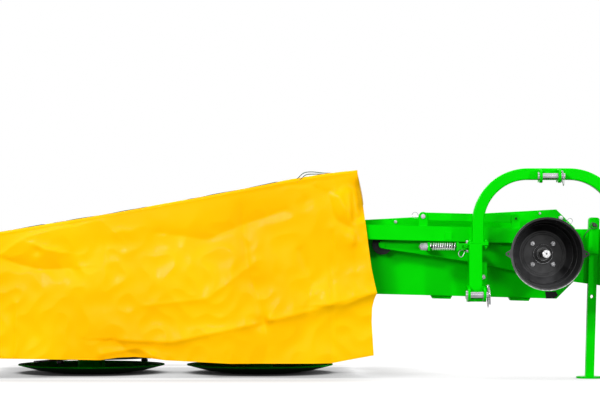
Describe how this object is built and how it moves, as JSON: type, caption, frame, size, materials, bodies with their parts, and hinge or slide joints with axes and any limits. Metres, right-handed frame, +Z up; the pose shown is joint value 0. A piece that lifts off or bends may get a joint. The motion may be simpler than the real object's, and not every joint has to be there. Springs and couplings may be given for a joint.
{
  "type": "rotary drum mower",
  "caption": "Side-mounted rotary drum mower for a three-point hitch, with arched headstock, belt drive, saucers, knives, PVC apron and parking stand.",
  "frame": {"origin": "on the ground, under the middle of the machine's bounding box", "axes": "+X from the drums towards the hitch frame, +Y from the hitch pins towards the rear of the mower, +Z up"},
  "size_m": [2.894, 1.29, 0.917],
  "materials": {
    "green_paint": "gloss",
    "green_casting": "satin cast",
    "zinc_plate": "zinc plated",
    "bright_steel": "machined",
    "black_casting": "painted cast",
    "knife_steel": "blackened",
    "black_plastic": "satin",
    "rubber": "matte",
    "apron_fabric": "glossy coated"
  },
  "bodies": {
    "headstock": {"headstock_arch": "green_paint", "headstock_leg_left": "green_paint", "headstock_leg_right": "green_paint", "lower_hitch_ears": "green_paint", "lower_hitch_pins": "zinc_plate", "top_link_ears": "green_paint", "top_link_pin": "zinc_plate", "leg_side_plate": "green_paint", "kingpin": "zinc_plate", "kingpin_brackets": "green_paint", "latch_lug": "green_paint"},
    "main_frame": {"arm_plate": "green_paint", "hinge_tube": "green_paint", "shaft_housing": "black_casting", "pivot_spigot": "green_paint", "shaft_guard": "black_plastic", "bumper_pin": "green_paint", "bumper_ring": "rubber", "latch_bracket": "green_paint", "latch_rod": "zinc_plate", "latch_pin": "zinc_plate", "latch_spring": "zinc_plate", "stand_sleeve": "green_paint"},
    "drive_shaft": {"drive_shaft": "bright_steel"},
    "stand": {"stand_leg": "green_paint"},
    "cutting_unit": {"beam": "green_paint", "stay_brackets": "green_paint", "stay_bar": "green_paint", "beam_links": "green_paint", "belt_box": "green_paint", "belt_box_cover": "green_paint", "belt_box_feet": "green_paint", "pivot_hub": "green_paint", "gearbox": "green_casting", "gear_case": "green_paint", "gear_case_cover": "green_paint", "drum_shafts": "bright_steel", "guard_rail_front": "green_paint", "guard_rail_rear": "green_paint", "guard_cross_tubes": "green_paint", "guard_posts": "green_paint", "apron_front": "apron_fabric", "apron_rear": "apron_fabric", "apron_outer": "apron_fabric", "apron_inner": "apron_fabric", "apron_roof": "apron_fabric"},
    "inner_drum": {"drum_inner": "green_paint", "knife_disc_inner": "knife_steel", "knives_inner": "knife_steel"},
    "outer_drum": {"drum_outer": "green_paint", "knife_disc_outer": "knife_steel", "knives_outer": "knife_steel"},
    "inner_saucer": {"saucer_inner": "green_paint"},
    "outer_saucer": {"saucer_outer": "green_paint"}
  },
  "joints": [
    {"name": "swing_back", "type": "hinge", "parent": "headstock", "child": "main_frame", "pos_m": [1.399, -0.425, 0.546], "axis": [0, 0, -1], "range_deg": [0, 90]},
    {"name": "float", "type": "hinge", "parent": "main_frame", "child": "cutting_unit", "pos_m": [1.067, -0.245, 0.546], "axis": [0, 1, 0], "range_deg": [0, 20]},
    {"name": "inner_drum_spin", "type": "hinge", "parent": "cutting_unit", "child": "inner_drum", "pos_m": [-0.178, 0.115, 0.078], "axis": [0, 0, 1], "continuous": true},
    {"name": "outer_drum_spin", "type": "hinge", "parent": "cutting_unit", "child": "outer_drum", "pos_m": [-0.954, 0.115, 0.078], "axis": [0, 0, 1], "continuous": true},
    {"name": "drive_shaft_spin", "type": "hinge", "parent": "main_frame", "child": "drive_shaft", "pos_m": [1.067, -0.605, 0.546], "axis": [0, 1, 0], "continuous": true},
    {"name": "inner_saucer_spin", "type": "hinge", "parent": "cutting_unit", "child": "inner_saucer", "pos_m": [-0.178, 0.115, 0], "axis": [0, 0, 1], "continuous": true},
    {"name": "outer_saucer_spin", "type": "hinge", "parent": "cutting_unit", "child": "outer_saucer", "pos_m": [-0.954, 0.115, 0], "axis": [0, 0, 1], "continuous": true},
    {"name": "stand_lift", "type": "slide", "parent": "main_frame", "child": "stand", "axis": [0.0314, 0, 0.9995], "range_m": [0, 0.28]}
  ],
  "couplings": [
    {"joint": "outer_drum_spin", "follows": "inner_drum_spin", "ratio": -1},
    {"joint": "drive_shaft_spin", "follows": "inner_drum_spin", "ratio": 0.3}
  ]
}
